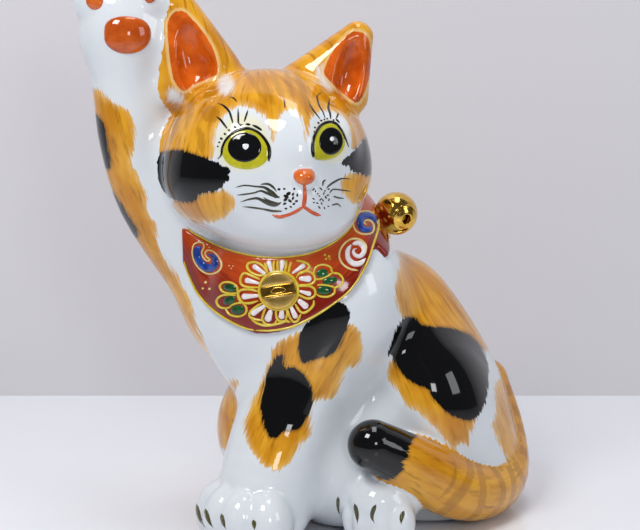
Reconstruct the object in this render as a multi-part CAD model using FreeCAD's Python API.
import FreeCAD, Part
import math
import os

# Beckoning cat figurine: hollow porcelain castings joined together, with a collar, raised enamel,
# gilded bells and felt pads. Millimetres, +Z up. The cat faces -Y, so its right side is towards
# -X: the raised arm is at -X and the tail wraps round the +X side. The castings are modelled
# standing on z = 0; each file is moved so that the origin lies on the table plane, at the centre
# of the second felt pad.
Vector = FreeCAD.Vector

# ---- driving dimensions ----------------------------------------------------------
WALL = 4.0            # wall of the body and head castings
BASE_WALL = 5.0       # floor of the body casting
VENT_R = 5.0          # hole in the floor
VENT_AT = (36.92, 18.0)
BODY_FOOT = 2.5       # height of the straight sides at the bottom of the body, outside and inside
BODY_FOOT_RINGS = (BODY_FOOT, 6.0)
LEG_FOOT = 2.0        # the same for the foreleg
COLLAR_T = 1.6        # relief of the collar above the body
ENAMEL_T = 0.7        # relief of the enamel pads
LINE_R = 0.5          # radius of a trailed enamel line
IRIS_T = 0.6          # glaze of the irises above the head
PUPIL_T = 1.0         # glaze of the pupils above the head
PAD_R = 7.0           # felt pads
PAD_T = 1.2
PADS = [(-24.0, -44.0), (30.0, -14.0), (66.0, 38.0), (18.0, 40.0)]
PAD_GAP = 0.02        # clearance between felt and porcelain
SEAT_GAP = 0.03       # clearance between neighbouring castings, and under beads and the bell plate
FRONT_Y = -90.0       # a plane in front of everything

# ---- modelling resolution --------------------------------------------------------
SPOKES = 40           # points round a horizontal outline
CURVE_EDGES = 3       # edges in a closed curve
CAP_RINGS = 3         # circles in the rounded end of a tube
CAP_ANGLE = 78        # how far round its end the last circle of a tube lies, degrees


# ---- building blocks of the castings' forms --------------------------------------
def ellipsoid_distance(x, y, z, centre, radii, turn):
    """Approximate distance to an ellipsoid; the columns of turn are its axes."""
    dx, dy, dz = x - centre[0], y - centre[1], z - centre[2]
    ax = (dx * turn[0] + dy * turn[3] + dz * turn[6]) / radii[0]
    ay = (dx * turn[1] + dy * turn[4] + dz * turn[7]) / radii[1]
    az = (dx * turn[2] + dy * turn[5] + dz * turn[8]) / radii[2]
    scaled = math.sqrt(ax * ax + ay * ay + az * az)
    bx, by, bz = ax / radii[0], ay / radii[1], az / radii[2]
    slope = math.sqrt(bx * bx + by * by + bz * bz) + 1e-9
    return scaled * (scaled - 1) / slope


def cone_distance(x, y, z, start, end):
    """Distance to a round cone, the hull of two spheres given as (x, y, z, radius)."""
    r1, r2 = start[3], end[3]
    bx, by, bz = end[0] - start[0], end[1] - start[1], end[2] - start[2]
    length2 = bx * bx + by * by + bz * bz
    taper = r1 - r2
    side2 = length2 - taper * taper
    inverse = 1.0 / length2
    px, py, pz = x - start[0], y - start[1], z - start[2]
    along = px * bx + py * by + pz * bz
    beyond = along - length2
    wx = px * length2 - along * bx
    wy = py * length2 - along * by
    wz = pz * length2 - along * bz
    across2 = wx * wx + wy * wy + wz * wz
    along2 = along * along * length2
    beyond2 = beyond * beyond * length2
    limit = math.copysign(1, taper) * taper * taper * across2
    if math.copysign(1, beyond) * side2 * beyond2 > limit:
        return math.sqrt(across2 + beyond2) * inverse - r2
    if math.copysign(1, along) * side2 * along2 < limit:
        return math.sqrt(across2 + along2) * inverse - r1
    return (math.sqrt(across2 * side2 * inverse) + along * taper) * inverse - r1


def about_z(cosine, sine):
    """Rotation matrix by rows, counter-clockwise seen from above."""
    return (cosine, -sine, 0.0, sine, cosine, 0.0, 0.0, 0.0, 1.0)


def about_y(cosine, sine):
    """Rotation matrix by rows, lifting the X axis."""
    return (cosine, 0.0, -sine, 0.0, 1.0, 0.0, sine, 0.0, cosine)


LEVEL = about_z(1.0, 0.0)
HEAD_TURN = about_z(0.94, 0.342)
HIND_TURN = about_z(0.94, -0.342)


# Each block is (distance function, its shape, blend radius, whether it is cut away).
def ellipsoid(centre, radii, blend, turn=LEVEL, cut=False):
    return ellipsoid_distance, (centre, radii, turn), blend, cut


def cone(start, end, blend=0.0):
    return cone_distance, (start, end), blend, False


def limb(stations):
    """Round cones along stations of (x, y, z, radius)."""
    return [cone(a, b) for a, b in zip(stations, stations[1:])]


# ---- forms -----------------------------------------------------------------------
# Ellipsoids: centre, radii, blend radius, turn. Cones and stations: (x, y, z, radius).
# Each *_MID is a point inside the form from which its outlines are followed.
HEAD_MID = (-24.38, -8.0, 169.12)
HEAD = [
    ellipsoid((-24.333, -8.0, 176.956), (45.453, 42.0, 36.27), 8, HEAD_TURN),
    ellipsoid((-23.887, -10.0, 163.344), (46.396, 41.0, 28.48), 14, HEAD_TURN),
    ellipsoid((-14.597, -18.0, 147.797), (27.37, 32.0, 16.422), 12, HEAD_TURN),
    ellipsoid((-9.688, -42.0, 158.812), (13.211, 14.0, 9.688), 9, HEAD_TURN),
    ellipsoid((-12.407, -34.0, 178.737), (9.748, 18.0, 18.61), 14,
              (0.94, -0.335, -0.071, 0.342, 0.919, 0.195, 0.0, -0.208, 0.978)),
    ellipsoid((-6.907, -54.5, 168.745), (4.317, 4.0, 3.238), 2.5, HEAD_TURN),
    # round the two eyes
    ellipsoid((-32.342, -34.0, 179.181), (13.734, 14.0, 13.291), 8, about_z(0.998, 0.07)),
    ellipsoid((2.682, -27.0, 181.596), (10.729, 14.0, 12.964), 8, about_z(0.788, 0.616)),
]

RIGHT_EAR_MID = (-56.72, -3.0, 221.39)
RIGHT_EAR = limb([
    (-52.195, -4.0, 211.434, 13.5), (-54.179, -3.333, 216.503, 12.237),
    (-56.163, -2.667, 221.573, 10.974), (-58.093, -2.0, 226.789, 9.5),
    (-59.932, -1.333, 232.251, 7.674), (-61.717, -0.667, 237.86, 5.637),
    (-63.502, 0.0, 243.469, 3.6),
]) + [
    cone((-61.362, -5.0, 205.114, 11.0), (-66.728, 0.0, 241.664, 3.2), 5),
    cone((-42.999, -5.0, 209.67, 8.0), (-62.158, 0.0, 241.664, 3.2), 7),
    # hollow in the front of the ear
    ellipsoid((-58.793, -17.0, 221.979), (7.63, 10.0, 19.299), 2.0,
              (0.982, -0.105, -0.156, 0.103, 0.995, -0.016, 0.156, 0.0, 0.988), cut=True),
    ellipsoid((-54.772, -18.0, 214.894), (7.632, 9.0, 9.877), 2.0, cut=True),
]

LEFT_EAR_MID = (11.53, 2.0, 215.68)
LEFT_EAR = limb([
    (1.848, 2.0, 207.424, 11.0), (5.025, 2.333, 211.469, 10.03),
    (8.202, 2.667, 215.513, 9.059), (11.07, 3.0, 219.301, 8.0),
    (13.424, 3.333, 222.659, 6.793), (15.468, 3.667, 225.761, 5.496),
    (17.512, 4.0, 228.862, 4.2),
]) + [
    cone((12.939, 1.0, 200.125, 9.5), (19.827, 4.0, 226.579, 4.4), 6),
    cone((-9.237, 2.0, 208.343, 8.0), (15.671, 4.0, 228.406, 3.8), 6),
    # hollow in the front of the ear
    ellipsoid((14.55, -9.0, 212.617), (6.366, 9.0, 16.368), 2.0,
              (0.9, -0.375, 0.224, 0.363, 0.927, 0.091, -0.242, 0.0, 0.97), cut=True),
]

BODY_MID = (9.6, 5.0, 54.29)
BODY = [
    ellipsoid((-10.281, -4.0, 123.129), (42.06, 34.0, 28.975), 10),
    ellipsoid((-9.377, -6.0, 97.778), (42.196, 36.0, 30.943), 16),
    ellipsoid((14.815, -14.0, 107.014), (23.149, 25.0, 27.779), 12),
    ellipsoid((-46.019, 12.0, 101.847), (18.216, 22.0, 23.968), 14),
    ellipsoid((-27.448, -2.0, 79.546), (20.822, 24.0, 29.34), 12, about_y(0.883, 0.469)),
    ellipsoid((28.305, 22.0, 77.973), (42.946, 38.0, 46.85), 20),
    ellipsoid((52.344, -2.0, 55.155), (28.551, 31.0, 39.972), 10, about_y(0.961, 0.276)),
    ellipsoid((51.688, 26.0, 16.995), (46.718, 46.0, 35.784), 16),
    ellipsoid((59.537, 30.0, 47.698), (31.753, 36.0, 44.653), 18, about_y(0.97, 0.242)),
    ellipsoid((-18.77, 24.0, 34.008), (28.65, 32.0, 32.601), 18),
    ellipsoid((14.726, 20.0, 40.217), (44.177, 42.0, 39.268), 18),
    ellipsoid((11.999, 0.0, 28.404), (34.556, 40.0, 34.556), 14),
    ellipsoid((-0.948, 10.0, 139.936), (27.021, 30.0, 21.807), 14),
]

ARM_MID = (-79.54, 6.0, 174.58)
ARM = limb([
    (-38.248, 10.0, 102.245, 24.0), (-42.923, 9.477, 108.069, 23.352),
    (-47.601, 8.938, 113.842, 22.688), (-52.272, 8.43, 119.718, 22.055),
    (-56.922, 8.0, 125.851, 21.5), (-61.772, 7.703, 132.352, 21.048),
    (-66.754, 7.5, 139.116, 20.669), (-71.423, 7.297, 145.973, 20.33),
    (-75.336, 7.0, 152.756, 20.0), (-78.3, 6.547, 159.484, 19.688),
    (-80.576, 6.0, 166.227, 19.406), (-82.402, 5.453, 172.886, 19.121),
    (-84.02, 5.0, 179.366, 18.8), (-85.422, 4.68, 185.751, 18.381),
    (-86.506, 4.438, 192.057, 17.9), (-87.36, 4.227, 198.078, 17.469),
    (-88.077, 4.0, 203.611, 17.2), (-88.609, 3.75, 208.464, 17.159),
    (-88.931, 3.5, 212.792, 17.275), (-89.169, 3.25, 216.909, 17.453),
    (-89.448, 3.0, 221.131, 17.6),
]) + [
    ellipsoid((-90.479, 2.0, 232.11), (20.209, 16.0, 22.964), 8),
    # toes
    ellipsoid((-102.939, 1.0, 243.004), (9.6, 11.5, 12.0), 1.8),
    ellipsoid((-94.99, 1.0, 250.668), (9.6, 11.5, 12.0), 1.8),
    ellipsoid((-84.925, 1.0, 251.568), (9.6, 11.5, 12.0), 1.8),
    ellipsoid((-77.302, 1.0, 243.907), (8.6, 11.5, 10.75), 1.8),
]
ARM_CORE = [  # stations of the hollow inside the arm
    (-65.26, 8.0, 139.28, 12.5), (-75.34, 7.0, 152.76, 12.5),
    (-83.55, 5.0, 179.37, 11.5), (-87.69, 4.0, 199.91, 10.0),
]

LEG_MID = (-11.61, -20.0, 60.88)
LEG = limb([
    (2.783, -14.0, 98.503, 24.0), (-0.312, -15.259, 90.196, 24.222),
    (-3.407, -16.519, 81.889, 24.444), (-6.498, -18.0, 73.748, 24.5),
    (-9.657, -19.704, 65.726, 24.296), (-12.812, -21.63, 57.871, 23.926),
    (-15.74, -24.0, 50.486, 23.5), (-18.427, -27.259, 43.54, 23.056),
    (-20.886, -30.963, 37.065, 22.556), (-22.945, -34.0, 31.468, 22.0),
    (-24.412, -35.778, 27.176, 21.37), (-25.478, -36.889, 23.762, 20.685),
    (-26.545, -38.0, 20.349, 20.0),
]) + [
    ellipsoid((-25.677, -37.0, 13.0), (20.0, 21.0, 17.0), 7, about_z(0.819, -0.574)),
    # toes
    ellipsoid((-42.975, -39.725, 10.6), (11.2, 14.0, 13.0), 1.6, about_z(0.105, -0.995)),
    ellipsoid((-39.914, -47.698, 10.6), (11.2, 14.0, 13.0), 1.6, about_z(0.588, -0.809)),
    ellipsoid((-33.277, -53.074, 10.6), (11.6, 14.5, 13.0), 1.6, about_z(0.914, -0.407)),
    ellipsoid((-23.984, -54.297, 10.6), (12.4, 15.5, 13.0), 1.6, about_z(0.988, 0.156)),
]
LEG_CORE = [  # stations of the hollow inside the foreleg
    (-6.44, -24.0, 75.22, 13.0), (-12.87, -28.0, 58.25, 14.5), (-19.75, -32.0, 39.43, 13.5),
]

# Each hind paw stands straight down to the base from its *_FOOT height.
LEFT_HIND_MID = (30.54, -30.0, 18.69)
LEFT_HIND_FOOT = 7.0
LEFT_HIND = [ellipsoid((30.539, -30.0, 18.693), (17.583, 24.0, 15.27), 8, HIND_TURN)]
RIGHT_HIND_MID = (-40.91, 10.0, 18.84)
RIGHT_HIND_FOOT = 12.5
RIGHT_HIND = [ellipsoid((-28.318, 12.0, 19.235), (16.6, 26.0, 12.694), 8, HIND_TURN)]

TAIL_PATH = [  # stations from the root behind the body to the tip at the front
    (83.44, 42.0, 54.89, 11.0), (86.95, 38.5, 42.54, 11.75), (89.56, 34.0, 31.17, 12.5),
    (90.16, 26.88, 21.94, 13.31), (88.62, 18.0, 15.35, 14.0), (84.06, 7.12, 12.58, 14.31),
    (77.63, -4.0, 12.71, 14.5), (69.91, -13.62, 15.46, 14.84), (61.7, -22.0, 19.98, 15.0),
    (54.09, -28.62, 25.58, 14.63), (46.81, -34.0, 31.47, 14.0), (39.84, -38.5, 36.59, 13.19),
    (33.52, -42.0, 41.01, 12.4), (28.46, -44.25, 44.17, 11.95), (23.85, -46.0, 46.87, 11.6),
]


# ---- distance fields -------------------------------------------------------------
def smooth_min(a, b, blend):
    if blend <= 0:
        return min(a, b)
    h = max(blend - abs(a - b), 0) / blend
    return min(a, b) - h * h * blend * 0.25


def field(blocks, with_cuts=False):
    """Distance to the surface of a form, negative inside."""
    def distance_at(x, y, z):
        total = None
        for distance, shape, blend, cut in blocks:
            if cut:
                if with_cuts:
                    total = -smooth_min(-total, distance(x, y, z, *shape), blend)
                continue
            d = distance(x, y, z, *shape)
            total = d if total is None else smooth_min(total, d, blend)
        return total

    return distance_at


def less(form, *others):
    """The form trimmed to sit against its neighbours."""
    near = 12   # farther out than this the neighbours are left out of the sum

    def distance_at(x, y, z):
        d = form(x, y, z)
        if d < near:
            for other in others:
                d = max(d, SEAT_GAP - other(x, y, z))
        return d

    return distance_at


def upright(form, foot):
    """The form with straight sides below the height of foot."""
    return lambda x, y, z: form(x, y, max(z, foot))


body_field = field(BODY)
head_field = field(HEAD)
arm_field = field(ARM)
leg_field = field(LEG)


def collar_field(x, y, z):
    return body_field(x, y, z) - COLLAR_T


# ---- from a field to a solid -----------------------------------------------------
def ray_length(form, x, y, z, dx, dy, level):
    """Distance along a level ray from an inside point to where the field equals level."""
    t = 0.0
    for _ in range(60):
        d = form(x + dx * t, y + dy * t, z) - level
        if abs(d) < 0.01:
            break
        t -= d * 0.95
        if t > 200:
            break
    return t


def outline(form, x, y, z, level, count):
    """Points on the form's outline at height z, round the inside point (x, y)."""
    points = []
    for i in range(count):
        dx = math.cos(2 * math.pi * i / count)
        dy = math.sin(2 * math.pi * i / count)
        t = ray_length(form, x, y, z, dx, dy, level)
        points.append(Vector(x + t * dx, y + t * dy, z))
    return points


def centred(form, x, y, z, level):
    """Moves (x, y) to the middle of the outline at height z, where that is well inside."""
    count = 12
    for _ in range(3):
        points = outline(form, x, y, z, level, count)
        new_x = sum(p.x for p in points) / count
        new_y = sum(p.y for p in points) / count
        if form(new_x, new_y, z) < level - 0.3:
            x, y = new_x, new_y
    return x, y


def deepest(form, x, y, z):
    """The deepest place near (x, y) at height z, and the field there."""
    step = 4.0
    d = form(x, y, z)
    while step > 0.2:
        best = None
        for i in range(8):
            next_x = x + step * math.cos(math.pi * i / 4)
            next_y = y + step * math.sin(math.pi * i / 4)
            next_d = form(next_x, next_y, z)
            if next_d < d - 1e-4 and (best is None or next_d < best[0]):
                best = (next_d, next_x, next_y)
        if best:
            d, x, y = best
        else:
            step /= 2
    return x, y, d


def reach(form, mid, sign, level=0.0):
    """Highest (sign 1) or lowest (sign -1) height of the form, followed from mid."""
    x, y, z = mid
    step = 4.0
    while step > 0.05:
        next_x, next_y, d = deepest(form, x, y, z + sign * step)
        if d < level - 0.5:
            x, y, z = next_x, next_y, z + sign * step
        else:
            step /= 2
    return z


def span(form, mid, level=0.0):
    return reach(form, mid, -1, level), reach(form, mid, 1, level)


def closed_wire(points):
    """A closed smooth curve through evenly spread points, in a few edges, so that outlines
    loft cleanly and no face of the loft closes on itself."""
    points = list(points) + [points[0]]
    count = len(points) - 1
    tangent = (points[1] - points[-2]) * (0.5 * count)
    curve = Part.BSplineCurve()
    curve.interpolate(Points=points, InitialTangent=tangent, FinalTangent=tangent,
                      Parameters=[i / count for i in range(count + 1)])
    edges = []
    for i in range(CURVE_EDGES):
        piece = curve.copy()
        piece.segment(i / CURVE_EDGES, (i + 1) / CURVE_EDGES)
        edges.append(piece.toShape())
    return Part.Wire(edges)


def column(form, mid, z_low, z_high, slices, level=0.0, round_low=True, round_high=True,
           spokes=SPOKES, rings=()):
    """A smooth solid through horizontal outlines of the form between z_low and z_high.
    Slices crowd towards a round end, which closes with a small flat. rings: heights of more
    outlines above z_low."""
    heights = [z_low + ring for ring in rings]
    for i in range(slices):
        t = i / (slices - 1)
        if round_low and round_high:
            t = 0.5 - 0.5 * math.cos(math.pi * t)
        elif round_high:
            t = math.sin(math.pi / 2 * t)
        heights.append(z_low + (z_high - z_low) * t)
    x, y = mid[:2]
    wires = []
    for z in sorted(heights):
        x, y, d = deepest(form, x, y, z)
        if d > level - 0.45:
            continue
        x, y = centred(form, x, y, z, level)
        wires.append(closed_wire(outline(form, x, y, z, level, spokes)))
    return Part.makeLoft(wires, True, False)


def ellipse_wire(centre, axis_1, axis_2, count=16):
    angles = [2 * math.pi * i / count for i in range(count)]
    return closed_wire([centre + axis_1 * math.cos(a) + axis_2 * math.sin(a) for a in angles])


def tube(path):
    """A smooth solid through circles along stations (x, y, z, radius), with rounded ends."""
    def direction(a, b):
        step = Vector(*b[:3]) - Vector(*a[:3])
        step.normalize()
        return step

    def cap(station, along, sign):
        sections = []
        for i in range(1, CAP_RINGS + 1):
            angle = math.radians(CAP_ANGLE * i / CAP_RINGS)
            centre = Vector(*station[:3]) + along * (sign * station[3] * math.sin(angle))
            sections.append((centre, along, station[3] * math.cos(angle)))
        return sections

    sections = cap(path[0], direction(path[0], path[1]), -1)[::-1]
    for i, station in enumerate(path):
        before = path[max(i - 1, 0)]
        after = path[min(i + 1, len(path) - 1)]
        sections.append((Vector(*station[:3]), direction(before, after), station[3]))
    sections += cap(path[-1], direction(path[-2], path[-1]), 1)

    wires = []
    for centre, along, radius in sections:
        side = along.cross(Vector(0, 0, 1))
        side.normalize()
        wires.append(ellipse_wire(centre, side * radius, side.cross(along) * radius))
    return Part.makeLoft(wires, True, False)


# ---- solids and files ------------------------------------------------------------
def sound(solid):
    """The solid without any open shell that a cut left behind."""
    closed = [shell for shell in solid.Shells if shell.isClosed()]
    if len(closed) == len(solid.Shells):
        return solid
    return Part.Solid(max(closed, key=lambda shell: shell.Area))


def keep_big(shape, share=0.05):
    """Drops the solids smaller than a share of the largest one."""
    solids = sorted(shape.Solids, key=lambda s: -s.Volume)
    kept = [sound(s) for s in solids if s.Volume > share * solids[0].Volume]
    return kept[0] if len(kept) == 1 else Part.makeCompound(kept)


def polygon_face(points):
    return Part.Face(Part.makePolygon(points + [points[0]]))


def is_rim(edge, radius):
    """Whether the edge is a full circle of this radius."""
    return len(edge.Vertexes) == 1 and abs(edge.Length - 2 * math.pi * radius) < 0.2


def save(name, shape):
    shape = shape.copy()
    shape.translate(Vector(-PADS[1][0], -PADS[1][1], PAD_T + PAD_GAP))
    shape.exportStep(os.path.join("parts", name + ".step"))


# ---- castings --------------------------------------------------------------------
def body_shell():
    top = reach(body_field, BODY_MID, 1)
    outside = column(upright(body_field, BODY_FOOT), BODY_MID, 0.0, top, 22,
                     round_low=False, rings=BODY_FOOT_RINGS)
    inside = column(upright(body_field, BASE_WALL + BODY_FOOT), BODY_MID, BASE_WALL, top - 1.0,
                    18, level=-WALL, round_low=False, rings=BODY_FOOT_RINGS)
    vent = Part.makeCylinder(VENT_R, 3 * BASE_WALL, Vector(*VENT_AT, -BASE_WALL))
    return keep_big(outside.cut(inside).cut(vent))


def head_shell(head_outer, body_outer):
    inside = column(head_field, HEAD_MID, *span(head_field, HEAD_MID, -WALL), slices=16,
                    level=-WALL)
    return keep_big(head_outer.cut(inside).cut(body_outer))


def raised_arm():
    form = less(arm_field, body_field, head_field, field(RIGHT_EAR))
    low, high = span(form, ARM_MID)
    return column(form, ARM_MID, low + 4, high, 18, spokes=36).cut(tube(ARM_CORE))


def foreleg():
    form = less(leg_field, body_field)
    leg = column(upright(form, LEG_FOOT), LEG_MID, 0.0, reach(form, LEG_MID, 1), 18,
                 round_low=False, rings=(LEG_FOOT,))
    return leg.cut(tube(LEG_CORE))


def ear(blocks, mid):
    form = less(field(blocks, with_cuts=True), head_field)
    return column(form, mid, *span(form, mid), slices=14, spokes=32)


def hind_paw(blocks, mid, foot):
    form = less(field(blocks), body_field, leg_field)
    return column(upright(form, foot), mid, 0.0, reach(form, mid, 1), 9,
                  round_low=False, spokes=32)


def tail(body_outer, left_paw):
    below_base = Part.makeBox(400, 400, 30, Vector(-200, -200, -30))
    return keep_big(tube(TAIL_PATH).cut(body_outer).cut(left_paw).cut(below_base))


# ---- collar ----------------------------------------------------------------------
COLLAR_Z = (78.0, 158.0)
BIB_BACK_Y = 0.0
BIB = [  # (x, z) outline of the bib, seen from the front
    (-64.4, 140.17), (-61.0, 128.36), (-57.55, 117.86), (-52.71, 109.61), (-46.03, 102.71),
    (-36.14, 97.63), (-26.22, 94.86), (-15.82, 95.32), (-4.52, 98.56), (5.86, 105.01),
    (14.4, 113.74), (20.65, 124.72), (24.64, 133.82), (26.82, 141.98), (28.53, 154.15),
    (26.7, 160.89), (-64.08, 160.89),
]
BAND_HALF_X = 80.0
BAND = [  # (y, z) outline of the band round the neck, seen from the side
    (-12.0, 133.0), (40.0, 150.0), (60.0, 156.0), (60.0, 170.0), (40.0, 166.0), (-12.0, 150.0),
]


def collar_piece(body_outer, head_outer, arm_outer):
    layer = column(body_field, HEAD_MID, *COLLAR_Z, slices=14, level=COLLAR_T,
                   round_low=False, round_high=False, spokes=48)
    bib = polygon_face([Vector(x, FRONT_Y, z) for x, z in BIB])
    bib = bib.extrude(Vector(0, BIB_BACK_Y - FRONT_Y, 0))
    band = polygon_face([Vector(-BAND_HALF_X, y, z) for y, z in BAND])
    band = band.extrude(Vector(2 * BAND_HALF_X, 0, 0))
    collar = layer.common(bib.fuse(band)).cut(body_outer).cut(head_outer).cut(arm_outer)
    return keep_big(collar, 0.02)


# ---- seating details on a surface ------------------------------------------------
def seat(x, z, form=collar_field):
    """Point and outward normal on a form, straight back from the front at (x, z)."""
    y = FRONT_Y
    for _ in range(80):
        d = form(x, y, z)
        if d < 0.005:
            break
        y += d * 0.8
        if y > 60:
            return None
    e = 0.05
    normal = Vector(form(x + e, y, z) - form(x - e, y, z),
                    form(x, y + e, z) - form(x, y - e, z),
                    form(x, y, z + e) - form(x, y, z - e))
    normal.normalize()
    return Vector(x, y, z), normal


def frame_at(normal, spin):
    """Two axes across the normal, the first near +X and turned by spin degrees."""
    ex = Vector(1, 0, 0) - normal * normal.x
    ex.normalize()
    ey = normal.cross(ex)
    c, s = math.cos(math.radians(spin)), math.sin(math.radians(spin))
    return ex * c + ey * s, ey * c - ex * s


def domed_pad(place, half_a, half_b, height, spin=0.0, sink=0.0):
    """A low domed pad with an elliptic outline, on a place given by seat()."""
    point, normal = place
    ex, ey = frame_at(normal, spin)
    wires = []
    for scale, rise in ((1.0, -sink), (0.96, height * 0.45), (0.8, height * 0.82),
                        (0.45, height)):
        wires.append(ellipse_wire(point + normal * (rise + 0.02), ex * (half_a * scale),
                                  ey * (half_b * scale)))
    return Part.makeLoft(wires, True, False)


def bead(outline_xz, radius):
    """A trailed line of enamel, round in section, along (x, z) points seated on the collar."""
    seats = [seat(x, z) for x, z in outline_xz]
    # A point that misses the collar's surface is left out.
    points = [s[0] + s[1] * (radius + SEAT_GAP) for s in seats if s]
    curve = Part.BSplineCurve()
    curve.interpolate(points)
    start = curve.value(curve.FirstParameter)
    tangent = curve.tangent(curve.FirstParameter)[0]
    circle = Part.Wire(Part.makeCircle(radius, start, tangent))
    return Part.Wire(curve.toShape()).makePipeShell([circle], True, True)


# ---- front bell: a disc in relief with a band across it ---------------------------
DISC_AT = (-18.23, 117.32)    # (x, z)
DISC_R = 7.9
DISC_T = 1.7
DISC_LIFT = 0.35              # height of the disc's back above its seat
DISC_SPIN = 12                # degrees
SLOT_W = 5.2
SLOT_LOW = -2.0               # lower side of the slot, from the disc's centre
SLOT_FLOOR = DISC_T - 0.35    # height above the seat
SLOT_GAP = 0.1                # clearance on each side of the band
BAND_HALF_L = DISC_R - 0.9
BAND_T = 1.3


def front_bell(collar):
    """The disc and the band, both seated on the collar."""
    point, normal = seat(*DISC_AT)
    ex, ey = frame_at(normal, DISC_SPIN)
    placing = FreeCAD.Matrix(ex.x, ey.x, normal.x, point.x,
                             ex.y, ey.y, normal.y, point.y,
                             ex.z, ey.z, normal.z, point.z,
                             0, 0, 0, 1)
    disc = Part.makeCylinder(DISC_R, DISC_T, Vector(0, 0, DISC_LIFT))
    disc = disc.makeFillet(0.8, [e for e in disc.Edges
                                 if e.BoundBox.ZMin > DISC_T * 0.9 and is_rim(e, DISC_R)])
    slot_length = 2 * DISC_R + 2
    disc = disc.cut(Part.makeBox(slot_length, SLOT_W, 5,
                                 Vector(-slot_length / 2, SLOT_LOW, SLOT_FLOOR)))
    disc.transformShape(placing)

    band = Part.makeBox(2 * BAND_HALF_L, SLOT_W - 2 * SLOT_GAP, BAND_T,
                        Vector(-BAND_HALF_L, SLOT_LOW + SLOT_GAP, SLOT_FLOOR + 0.02))
    band = band.common(Part.makeCylinder(DISC_R - 0.5, 6))
    band = band.makeFillet(0.35, [e for e in band.Edges if e.BoundBox.ZMin > DISC_T + 0.9])
    band.transformShape(placing)
    return keep_big(disc.cut(collar)), band


# ---- enamel on the collar --------------------------------------------------------
PETALS = 13
PETAL_FIRST = 14.0            # angle of the first petal, degrees
PETAL_RING = 12.7             # radius of the ring of petals round the disc
PETAL_HALF = (2.9, 1.25)      # half-axes, outwards and across
PETAL_LINE_HALF = (4.2, 2.35)
PETAL_LINE_SHIFT = 0.2        # outward shift of the outline from its petal
PETAL_LINE_R = 0.42
SWIRL_R = 1.15
DISC_RING_POINTS = 24
LEAVES = [  # x, z, half-axes, spin in degrees
    (1.06, 125.03, 2.74, 2.03, 0), (4.96, 121.42, 2.92, 1.86, 20),
    (1.91, 117.27, 3.1, 1.95, 10), (-40.05, 118.22, 2.83, 1.59, -25),
    (-40.94, 112.8, 3.01, 1.68, 15), (-36.36, 108.67, 2.65, 2.03, -10),
]
# (x, z) points along each line
BLUE_SWIRLS = [
    [(-54.33, 135.16), (-54.74, 131.19), (-52.65, 127.21), (-48.74, 126.12),
     (-46.78, 128.66), (-48.68, 131.55)],
    [(23.46, 147.3), (20.22, 148.89), (17.51, 146.94), (17.38, 143.52),
     (20.26, 141.64), (23.13, 143.09)],
]
WHITE_SWIRL = [
    (19.41, 135.56), (15.13, 136.28), (12.64, 132.66), (13.87, 128.31), (17.66, 126.86),
    (20.15, 129.4),
]
BORDER_LOW = [
    (-59.09, 127.92), (-57.73, 123.95), (-54.63, 116.72), (-50.44, 110.19), (-44.1, 103.65),
    (-37.71, 100.0), (-30.58, 98.39), (-22.72, 98.39), (-15.58, 99.49), (-8.43, 101.82),
    (-2.0, 105.47), (3.7, 109.83), (9.39, 114.4), (14.0, 119.26), (17.88, 125.4),
    (21.39, 132.59), (23.62, 139.41),
]
BORDER_TOP = [
    (-55.91, 141.87), (-51.37, 138.3), (-45.76, 135.37), (-38.72, 133.08), (-30.26, 131.5),
    (-19.66, 130.78), (-9.76, 131.5), (-1.28, 133.87), (5.78, 137.8), (11.06, 142.59),
]


def round_disc(radius, angle):
    """(x, z) at a radius and angle round the disc's centre."""
    return DISC_AT[0] + radius * math.cos(angle), DISC_AT[1] + radius * math.sin(angle)


def petal_outline(angle):
    """(x, z) points of an arc round a petal, open towards the disc."""
    centre_x, centre_z = round_disc(PETAL_RING, angle)
    points = []
    for j in range(11):
        turn = math.radians(-125 + 25 * j)
        out = PETAL_LINE_HALF[0] * math.cos(turn) + PETAL_LINE_SHIFT
        across = PETAL_LINE_HALF[1] * math.sin(turn)
        points.append((centre_x + out * math.cos(angle) - across * math.sin(angle),
                       centre_z + out * math.sin(angle) + across * math.cos(angle)))
    return points


def save_enamel(head_outer):
    angles = [math.radians(PETAL_FIRST + 360.0 * i / PETALS) for i in range(PETALS)]
    save("enamel_white_petals", Part.makeCompound(
        [domed_pad(seat(*round_disc(PETAL_RING, a)), *PETAL_HALF, ENAMEL_T, math.degrees(a))
         for a in angles]))
    save("enamel_petal_outlines", Part.makeCompound(
        [bead(petal_outline(a), PETAL_LINE_R) for a in angles]))
    save("enamel_green_leaves", Part.makeCompound(
        [domed_pad(seat(x, z), a, b, ENAMEL_T, spin) for x, z, a, b, spin in LEAVES]))
    save("enamel_blue_swirls", Part.makeCompound([bead(s, SWIRL_R) for s in BLUE_SWIRLS]))
    save("enamel_white_swirl", Part.makeCompound([bead(WHITE_SWIRL, SWIRL_R)]))
    top = bead(BORDER_TOP, LINE_R).cut(head_outer)
    save("enamel_border_lines", Part.makeCompound([bead(BORDER_LOW, LINE_R)] + top.Solids))
    # The ring stays open between its last point and its first.
    ring = [round_disc(DISC_R + 1.0, 2 * math.pi * i / DISC_RING_POINTS)
            for i in range(DISC_RING_POINTS)]
    save("enamel_disc_ring", bead(ring, LINE_R * 1.3))


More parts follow.
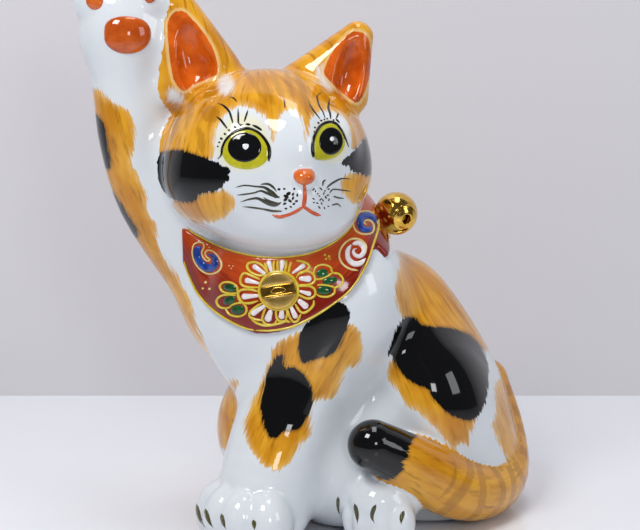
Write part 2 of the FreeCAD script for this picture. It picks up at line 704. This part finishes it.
# ---- face, palm and toe pads -----------------------------------------------------
# x, z and the half-axes along x and z
EYES = [(-32.58, 180.84, 10.2, 9.4), (3.83, 182.77, 8.6, 9.0)]
NOSE = (-6.72, 169.53, 5.0, 3.8)
PALM = (-86.53, 228.85, 10.8, 8.9)
TOES = [(-101.39, 244.93, 4.6, 5.0), (-93.35, 252.92, 4.2, 4.8),
        (-83.87, 253.36, 4.2, 4.8), (-75.87, 246.69, 3.4, 4.4)]
PUPIL_SCALE = 0.64            # pupil to iris
EYE_BACK_Y = -8.0
NOSE_T = 0.8
NOSE_SINK = 1.6
PALM_T = 1.9
TOE_T = 1.3


def glaze_layer(thickness):
    """The head's form grown by thickness, at the height of the eyes."""
    middle = sum(eye[1] for eye in EYES) / len(EYES)
    return column(head_field, HEAD_MID, middle - 20, middle + 20, 9, level=thickness,
                  round_low=False, round_high=False, spokes=48)


def eye_patches(layer, under, scale):
    """What an elliptic prism at each eye takes from the layer, above what lies under it."""
    patches = []
    for x, z, a, b in EYES:
        wire = ellipse_wire(Vector(x, FRONT_Y, z), Vector(a * scale, 0, 0),
                            Vector(0, 0, b * scale), 20)
        prism = Part.Face(wire).extrude(Vector(0, EYE_BACK_Y - FRONT_Y, 0))
        patches.append(keep_big(layer.common(prism).cut(under)))
    return Part.makeCompound(patches)


def nose(head_outer):
    x, z, a, b = NOSE
    pad = domed_pad(seat(x, z, head_field), a, b, NOSE_T, sink=NOSE_SINK)
    return keep_big(pad.cut(head_outer))


def paw_pad(x, z, a, b, height, arm_outer):
    return keep_big(domed_pad(seat(x, z, arm_field), a, b, height).cut(arm_outer))


# ---- rear bell -------------------------------------------------------------------
BELL_AT = (35.95, 9.0, 144.15)
BELL_R = 10.2
BELL_WALL = 1.8
BELL_HOLE_R = 2.2
BELL_HOLE_DIR = (0.47, -0.87, -0.15)
BELL_SLIT = (6.4, 1.5)        # length and width
BELL_SLIT_DIR = (0.2, -0.64, -0.74)
BELL_CUT_START = 4            # where the hole and the slit start, from the bell's centre
BELL_DIR_IN = (-0.8097, 0.05, -0.5848)   # towards the body
BELL_FOOT = (29.15, 9.42, 139.24)        # the bell ends at a flat here
BELL_PLATE_R = 7.3
BELL_PLATE_T = 1.4


def rear_bell(collar, body_outer, head_outer):
    centre = Vector(*BELL_AT)
    bell = Part.makeSphere(BELL_R, centre).cut(Part.makeSphere(BELL_R - BELL_WALL, centre))
    hole_dir = Vector(*BELL_HOLE_DIR)
    hole_dir.normalize()
    bell = bell.cut(Part.makeCylinder(BELL_HOLE_R, BELL_R, centre + hole_dir * BELL_CUT_START,
                                      hole_dir))
    slit_dir = Vector(*BELL_SLIT_DIR)
    slit_dir.normalize()
    along, across = frame_at(slit_dir, 0.0)
    length, width = BELL_SLIT
    corners = [centre + slit_dir * BELL_CUT_START + along * (i * length / 2)
               + across * (j * width / 2) for i, j in ((-1, -1), (1, -1), (1, 1), (-1, 1))]
    bell = bell.cut(polygon_face(corners).extrude(slit_dir * BELL_R))
    beyond_foot = Part.makeBox(80, 80, 80, Vector(-40, -40, 0))
    beyond_foot.Placement = FreeCAD.Placement(
        Vector(*BELL_FOOT), FreeCAD.Rotation(Vector(0, 0, 1), Vector(*BELL_DIR_IN)))
    bell = bell.cut(beyond_foot)
    return keep_big(bell.cut(collar).cut(body_outer).cut(head_outer))


def bell_back_plate(collar, body_outer):
    inwards = Vector(*BELL_DIR_IN)
    plate = Part.makeCylinder(BELL_PLATE_R, BELL_PLATE_T,
                              Vector(*BELL_FOOT) + inwards * SEAT_GAP, inwards)
    plate = plate.makeFillet(0.4, [e for e in plate.Edges if is_rim(e, BELL_PLATE_R)])
    return keep_big(plate.cut(collar).cut(body_outer))


def felt_pads():
    return Part.makeCompound([Part.makeCylinder(PAD_R, PAD_T, Vector(x, y, -PAD_T - PAD_GAP))
                              for x, y in PADS])


# ---- build -----------------------------------------------------------------------
os.makedirs("parts", exist_ok=True)

# Whole outer forms, used to trim the neighbouring pieces
body_outer = column(body_field, BODY_MID, 0.0, reach(body_field, BODY_MID, 1), 22,
                    round_low=False)
head_outer = column(head_field, HEAD_MID, *span(head_field, HEAD_MID), slices=22)
arm_outer = column(arm_field, ARM_MID, *span(arm_field, ARM_MID), slices=24)

save("body_shell", body_shell())
save("head_shell", head_shell(head_outer, body_outer))
save("raised_arm", raised_arm())
save("foreleg", foreleg())
save("right_ear", ear(RIGHT_EAR, RIGHT_EAR_MID))
save("left_ear", ear(LEFT_EAR, LEFT_EAR_MID))
left_paw = hind_paw(LEFT_HIND, LEFT_HIND_MID, LEFT_HIND_FOOT)
save("left_hind_paw", left_paw)
save("right_hind_paw", hind_paw(RIGHT_HIND, RIGHT_HIND_MID, RIGHT_HIND_FOOT))
save("tail", tail(body_outer, left_paw))

collar = collar_piece(body_outer, head_outer, arm_outer)
save("collar", collar)
disc, disc_band = front_bell(collar)
save("front_bell_disc", disc)
save("front_bell_band", disc_band)
save_enamel(head_outer)

iris_glaze = glaze_layer(IRIS_T)
save("eye_irises", eye_patches(iris_glaze, head_outer, 1.0))
save("eye_pupils", eye_patches(glaze_layer(PUPIL_T), iris_glaze, PUPIL_SCALE))
save("nose", nose(head_outer))
save("palm_pad", paw_pad(*PALM, PALM_T, arm_outer))
save("toe_pads", Part.makeCompound([paw_pad(*toe, TOE_T, arm_outer) for toe in TOES]))

save("rear_bell", rear_bell(collar, body_outer, head_outer))
save("rear_bell_back_plate", bell_back_plate(collar, body_outer))
save("felt_pads", felt_pads())
